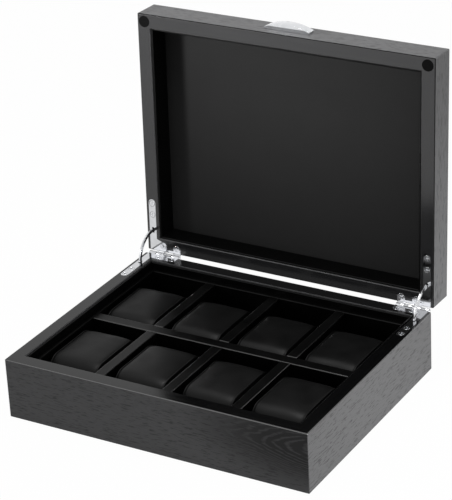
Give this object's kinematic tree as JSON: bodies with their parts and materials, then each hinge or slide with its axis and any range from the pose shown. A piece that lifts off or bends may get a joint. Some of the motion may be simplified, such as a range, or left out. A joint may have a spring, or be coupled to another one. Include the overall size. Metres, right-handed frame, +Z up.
{
  "type": "watch display box",
  "caption": "Black veneered watch display box with a hinged lid on curved stay hinges, a divided tray and lift-out cushions.",
  "frame": {"origin": "centre of the felt under the base", "axes": "+X to the box's right, +Y to its back, +Z up; the lid stands open as in the picture"},
  "size_m": [0.3, 0.2777, 0.3021],
  "materials": {
    "black_veneer": "black stained oak veneer, satin lacquer",
    "panel_board": "stained board",
    "felt": "black felt",
    "lining_leatherette": "black fine-grained leatherette, satin",
    "cushion_leatherette": "smooth soft black leatherette",
    "lid_fabric": "matt black suedette",
    "bumper_rubber": "matt black",
    "tab_chrome": "polished",
    "hinge_nickel": "polished nickel plate",
    "screw_nickel": "polished nickel plate"
  },
  "bodies": {
    "base": {"base_front_wall": "black_veneer", "base_back_wall": "black_veneer", "base_left_wall": "black_veneer", "base_right_wall": "black_veneer", "base_bottom_panel": "panel_board", "base_felt": "felt", "floor_lining": "lining_leatherette", "base_lining_front": "lining_leatherette", "base_lining_back": "lining_leatherette", "base_lining_left": "lining_leatherette", "base_lining_right": "lining_leatherette", "tray_board_front": "lining_leatherette", "tray_board_back": "lining_leatherette", "tray_board_left": "lining_leatherette", "tray_board_right": "lining_leatherette", "long_divider": "lining_leatherette", "cross_divider_left": "lining_leatherette", "cross_divider_middle": "lining_leatherette", "cross_divider_right": "lining_leatherette", "base_leaf_left": "hinge_nickel", "base_leaf_right": "hinge_nickel", "hinge_pin_left": "hinge_nickel", "hinge_pin_right": "hinge_nickel", "base_hinge_screws": "screw_nickel"},
    "lid": {"lid_front_rail": "black_veneer", "lid_back_rail": "black_veneer", "lid_left_rail": "black_veneer", "lid_right_rail": "black_veneer", "lid_panel": "panel_board", "lid_veneer": "black_veneer", "lid_pad": "lid_fabric", "lid_lining_front": "lining_leatherette", "lid_lining_back": "lining_leatherette", "lid_lining_left": "lining_leatherette", "lid_lining_right": "lining_leatherette", "lid_bumpers": "bumper_rubber", "lift_tab": "tab_chrome", "lid_leaf_left": "hinge_nickel", "lid_leaf_right": "hinge_nickel", "lid_hinge_screws": "screw_nickel"},
    "stay_arm_left": {"stay_arm_left": "hinge_nickel"},
    "stay_arm_right": {"stay_arm_right": "hinge_nickel"},
    "cushion_front_1": {"cushion_front_1": "cushion_leatherette"},
    "cushion_front_2": {"cushion_front_2": "cushion_leatherette"},
    "cushion_front_3": {"cushion_front_3": "cushion_leatherette"},
    "cushion_front_4": {"cushion_front_4": "cushion_leatherette"},
    "cushion_rear_1": {"cushion_rear_1": "cushion_leatherette"},
    "cushion_rear_2": {"cushion_rear_2": "cushion_leatherette"},
    "cushion_rear_3": {"cushion_rear_3": "cushion_leatherette"},
    "cushion_rear_4": {"cushion_rear_4": "cushion_leatherette"}
  },
  "joints": [
    {"name": "lid_hinge", "type": "hinge", "parent": "base", "child": "lid", "pos_m": [0, 0.1206, 0.0574], "axis": [-1, 0, 0], "range_deg": [-92, 0]},
    {"name": "stay_left_turn", "type": "hinge", "parent": "base", "child": "stay_arm_left", "pos_m": [-0.1435, 0.1206, 0.0574], "axis": [-1, 0, 0], "range_deg": [-46, 0]},
    {"name": "stay_right_turn", "type": "hinge", "parent": "base", "child": "stay_arm_right", "pos_m": [0.1435, 0.1206, 0.0574], "axis": [-1, 0, 0], "range_deg": [-46, 0]},
    {"name": "cushion_front_1_lift", "type": "slide", "parent": "base", "child": "cushion_front_1", "axis": [0, 0, 1], "range_m": [0, 0.06]},
    {"name": "cushion_front_2_lift", "type": "slide", "parent": "base", "child": "cushion_front_2", "axis": [0, 0, 1], "range_m": [0, 0.06]},
    {"name": "cushion_front_3_lift", "type": "slide", "parent": "base", "child": "cushion_front_3", "axis": [0, 0, 1], "range_m": [0, 0.06]},
    {"name": "cushion_front_4_lift", "type": "slide", "parent": "base", "child": "cushion_front_4", "axis": [0, 0, 1], "range_m": [0, 0.06]},
    {"name": "cushion_rear_1_lift", "type": "slide", "parent": "base", "child": "cushion_rear_1", "axis": [0, 0, 1], "range_m": [0, 0.06]},
    {"name": "cushion_rear_2_lift", "type": "slide", "parent": "base", "child": "cushion_rear_2", "axis": [0, 0, 1], "range_m": [0, 0.06]},
    {"name": "cushion_rear_3_lift", "type": "slide", "parent": "base", "child": "cushion_rear_3", "axis": [0, 0, 1], "range_m": [0, 0.06]},
    {"name": "cushion_rear_4_lift", "type": "slide", "parent": "base", "child": "cushion_rear_4", "axis": [0, 0, 1], "range_m": [0, 0.06]}
  ],
  "couplings": [
    {"joint": "stay_left_turn", "follows": "lid_hinge", "ratio": 0.5},
    {"joint": "stay_right_turn", "follows": "lid_hinge", "ratio": 0.5}
  ]
}
